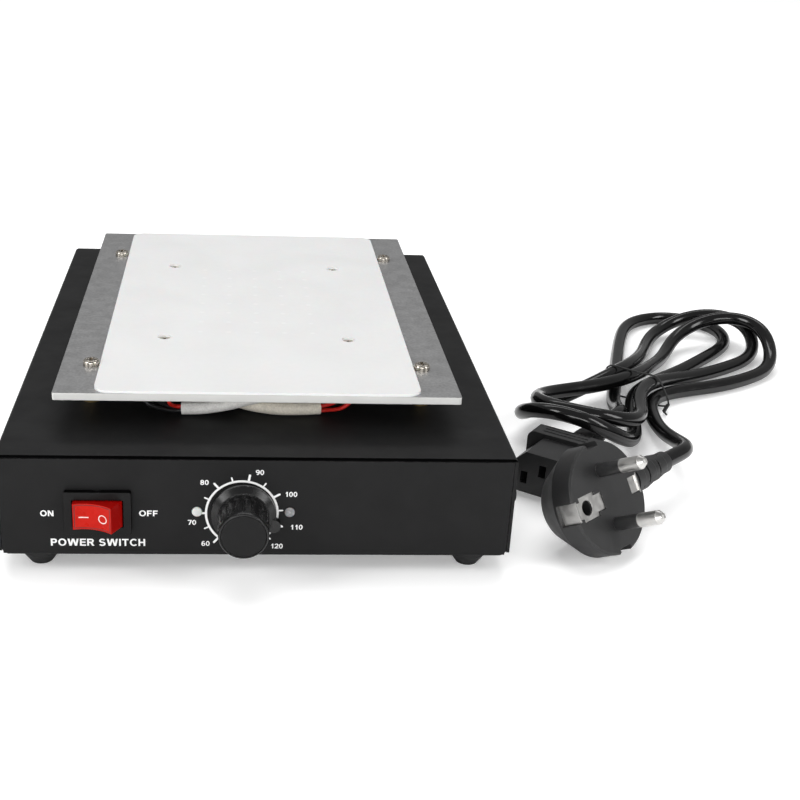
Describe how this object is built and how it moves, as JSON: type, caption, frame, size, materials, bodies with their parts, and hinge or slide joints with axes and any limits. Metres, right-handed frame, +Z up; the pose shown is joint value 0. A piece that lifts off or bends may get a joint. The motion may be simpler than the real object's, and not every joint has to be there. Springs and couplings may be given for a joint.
{
  "type": "lcd screen separator",
  "caption": "Low bench heating plate with a silicone mat for parting phone screens, with rocker switch, temperature dial, power inlet and a mains lead lying beside it.",
  "frame": {"origin": "on the surface that the feet stand on, under the middle of the machine from the knob face to the rear inlet screws", "axes": "+X to the right along the front panel, +Y from the front panel to the rear panel, +Z up"},
  "size_m": [0.333, 0.27, 0.056],
  "materials": {
    "powder_coat": "fine matte powder coat",
    "black_screw": "blackened steel",
    "foot_rubber": "matte",
    "plate_aluminium": "satin, faintly speckled",
    "mat_silicone": "white silicone, matte",
    "zinc_steel": "bright zinc",
    "brass_spacer": "plain brass",
    "heater_mica": "mica sheet",
    "probe_copper": "copper lug with a red collar",
    "fuse_grey": "ceramic in a steel saddle",
    "grommet_rubber": "matte",
    "sleeve_white": "woven glass fibre, white",
    "sleeve_cream": "woven glass fibre, cream",
    "lead_red": "red silicone insulation",
    "lead_dark": "black silicone insulation",
    "switch_black": "satin nylon",
    "rocker_red": "translucent red",
    "control_steel": "plated steel",
    "shaft_aluminium": "turned",
    "knob_black": "satin black",
    "cap_black": "smooth black",
    "lamp_white": "milky lens",
    "lamp_grey": "grey lens",
    "board_green": "solder mask",
    "relay_blue": "moulded case",
    "terminal_green": "moulded nylon",
    "can_blue": "sleeved cans",
    "fuse_glass": "glass tube with plated caps",
    "heat_sink_grey": "extruded",
    "chip_black": "moulded epoxy",
    "core_steel": "laminations",
    "coil_tape": "polyester tape",
    "inlet_black": "satin moulding",
    "blade_tin": "tinned",
    "wire_mains": "brown, blue and green-yellow insulation",
    "cord_black": "satin sheath",
    "plug_black": "moulded, satin",
    "tie_black": "thin wire tie in plastic",
    "pin_nickel": "nickel plated"
  },
  "bodies": {
    "machine": {"base_tray": "powder_coat", "top_cover": "powder_coat", "cover_screws": "black_screw", "rubber_feet": "foot_rubber", "heating_plate": "plate_aluminium", "silicone_mat": "mat_silicone", "plate_screws": "zinc_steel", "plate_spacers": "brass_spacer", "spacer_screws": "zinc_steel", "heater_element": "heater_mica", "heater_clamp": "zinc_steel", "clamp_screws": "zinc_steel", "clamp_nuts": "zinc_steel", "temperature_probe": "probe_copper", "thermal_fuse": "fuse_grey", "cable_grommets": "grommet_rubber", "sleeve_left": "sleeve_white", "sleeve_right": "sleeve_cream", "red_leads": "lead_red", "black_leads": "lead_dark", "switch_housing": "switch_black", "switch_terminals": "brass_spacer", "dial_control": "control_steel", "dial_nut": "zinc_steel", "lamp_left": "lamp_white", "lamp_right": "lamp_grey", "control_board": "board_green", "board_spacers": "brass_spacer", "board_screws": "zinc_steel", "relay": "relay_blue", "terminal_block": "terminal_green", "capacitors": "can_blue", "board_fuse": "fuse_glass", "heat_sink": "heat_sink_grey", "power_chip": "chip_black", "logic_chips": "chip_black", "transformer_core": "core_steel", "transformer_coil": "coil_tape", "transformer_screws": "zinc_steel", "inlet_housing": "inlet_black", "inlet_blades": "blade_tin", "inlet_screws": "black_screw", "earth_stud": "brass_spacer", "inner_wires": "wire_mains", "mains_lead": "cord_black", "lead_connector": "plug_black", "connector_relief": "plug_black", "lead_tie": "tie_black", "plug_body": "plug_black", "plug_relief": "plug_black", "plug_pins": "pin_nickel", "plug_earth_strips": "pin_nickel"},
    "rocker": {"rocker": "rocker_red"},
    "knob": {"knob": "knob_black", "knob_cap": "cap_black", "dial_shaft": "shaft_aluminium"}
  },
  "joints": [
    {"name": "rocker_hinge", "type": "hinge", "parent": "machine", "child": "rocker", "pos_m": [-0.0506, -0.10702, 0.0222], "axis": [0, 0, 1], "range_deg": [0, 28]},
    {"name": "knob_turn", "type": "hinge", "parent": "machine", "child": "knob", "pos_m": [-0.0047, -0.115, 0.0222], "axis": [0, -1, 0], "range_deg": [-50, 250]}
  ]
}
